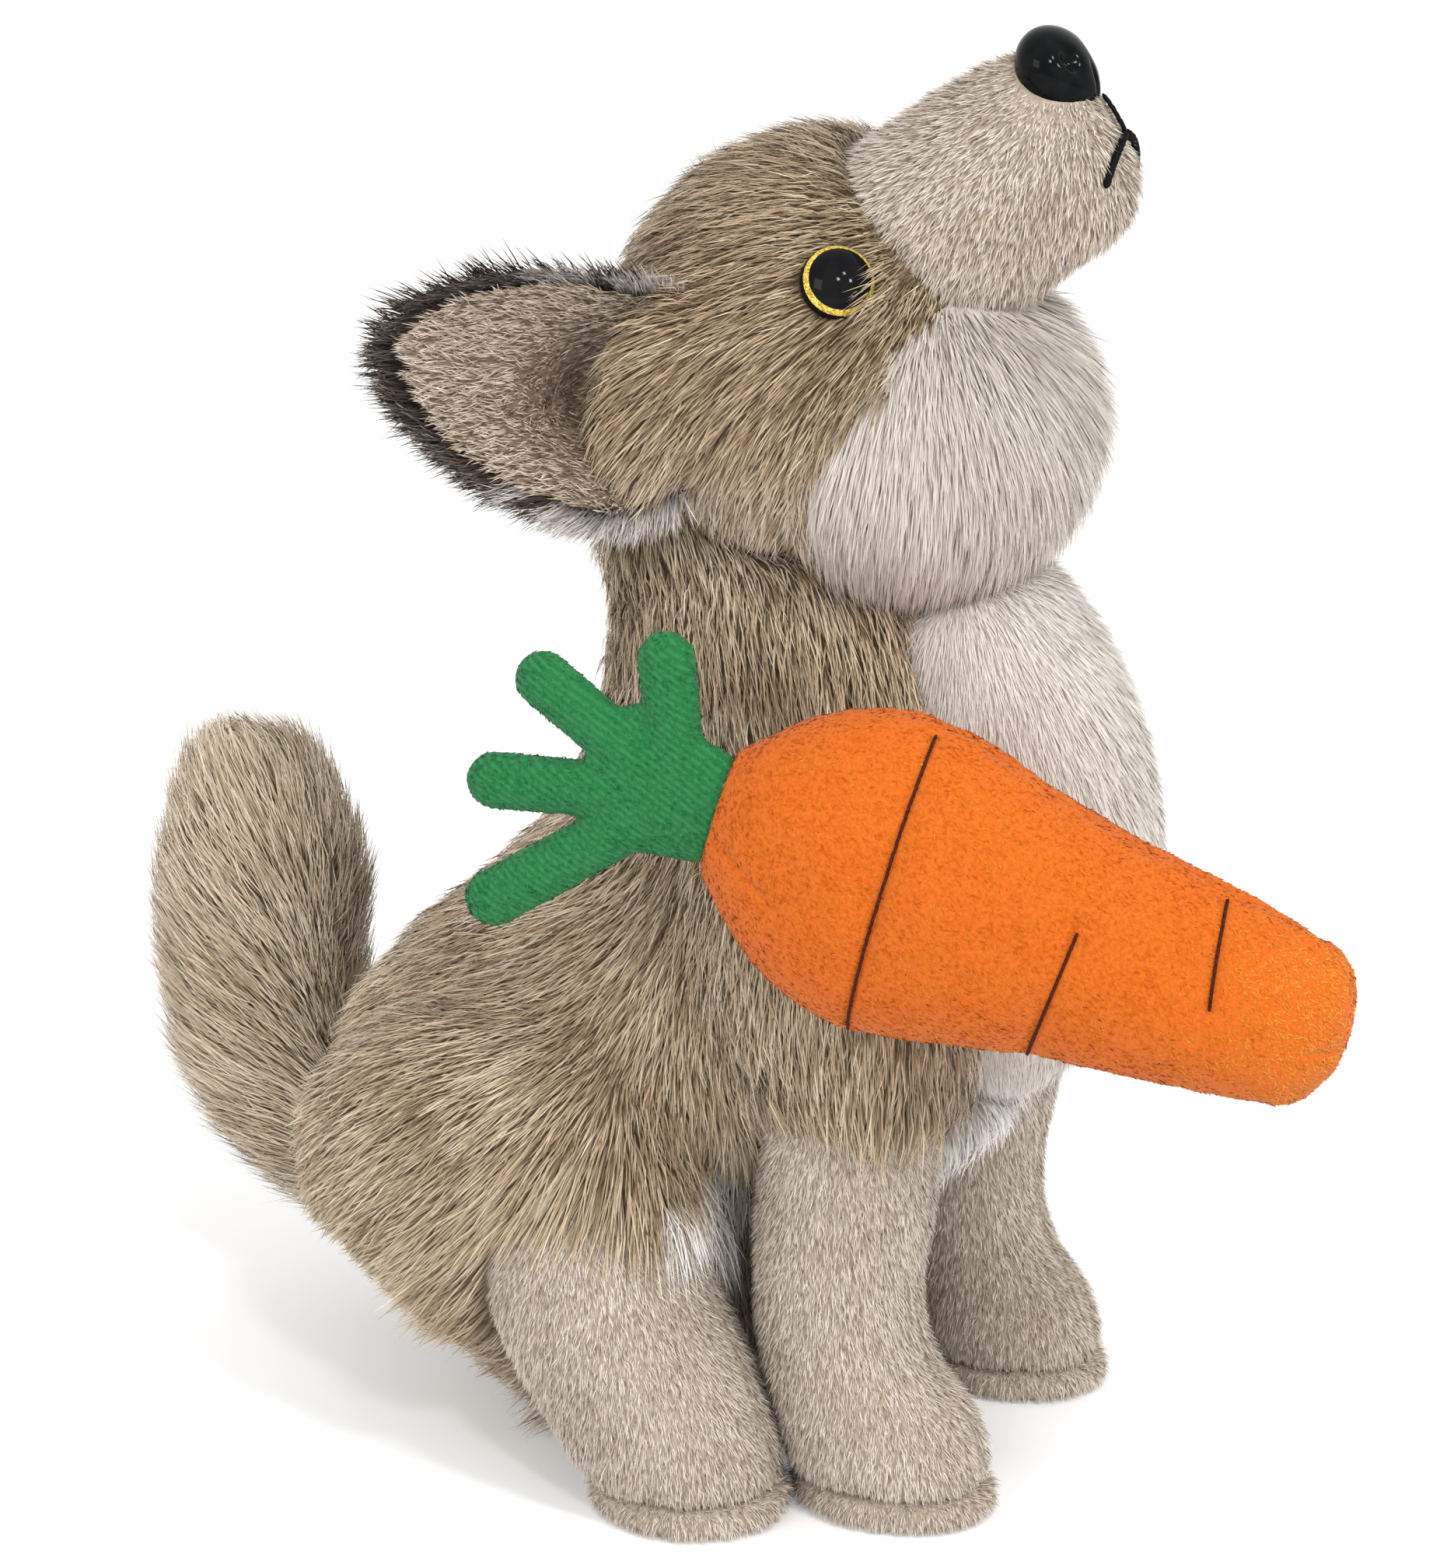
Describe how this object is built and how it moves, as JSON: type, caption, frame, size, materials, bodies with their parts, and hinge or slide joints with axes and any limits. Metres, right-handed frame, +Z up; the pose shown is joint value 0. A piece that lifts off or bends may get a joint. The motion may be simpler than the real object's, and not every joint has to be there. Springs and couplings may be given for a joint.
{
  "type": "plush wolf",
  "caption": "Sitting stuffed plush wolf with raised head, upright tail and glossy nose and eyes, with a stuffed carrot laid across its right shoulder.",
  "frame": {"origin": "middle of the outer box, on the surface that the toy sits on", "axes": "+Z up; the wolf looks along -Y; its right side, with the carrot, is at -X"},
  "size_m": [0.1082, 0.1918, 0.1993],
  "materials": {
    "brown_pile": "long brown plush pile with darker roots",
    "dark_pile": "long dark brown plush pile with pale tips",
    "cream_pile": "long cream plush pile",
    "chest_pile": "medium pale plush pile",
    "white_pile": "long white plush pile",
    "beige_pile": "short beige plush pile",
    "black_gloss": "glossy moulded plastic",
    "eye_gloss": "clear domed plastic over a gold ring and a black pupil",
    "black_thread": "embroidery thread",
    "orange_velour": "orange velour",
    "green_fleece": "green brushed knit",
    "dark_stitch": "dark sewing thread"
  },
  "bodies": {
    "root": {"torso": "brown_pile", "chest": "chest_pile", "belly": "white_pile", "haunch_right": "brown_pile", "haunch_left": "brown_pile", "hind_leg_right": "beige_pile", "hind_leg_left": "beige_pile", "hind_sole_right": "beige_pile", "hind_sole_left": "beige_pile", "sleeve_right": "brown_pile", "sleeve_left": "brown_pile", "front_leg_right": "beige_pile", "front_leg_left": "beige_pile", "front_sole_right": "beige_pile", "front_sole_left": "beige_pile", "tail": "brown_pile", "head": "brown_pile", "muzzle": "beige_pile", "throat_ruff": "cream_pile", "ear_back_right": "dark_pile", "ear_back_left": "dark_pile", "ear_lining_right": "beige_pile", "ear_lining_left": "beige_pile", "eye_right": "eye_gloss", "eye_left": "eye_gloss", "nose": "black_gloss", "nose_thread": "black_thread", "mouth_thread": "black_thread", "carrot_body": "orange_velour", "carrot_leaves": "green_fleece", "carrot_stitch_crown": "dark_stitch", "carrot_stitch_middle": "dark_stitch", "carrot_stitch_tip": "dark_stitch"}
  },
  "joints": []
}
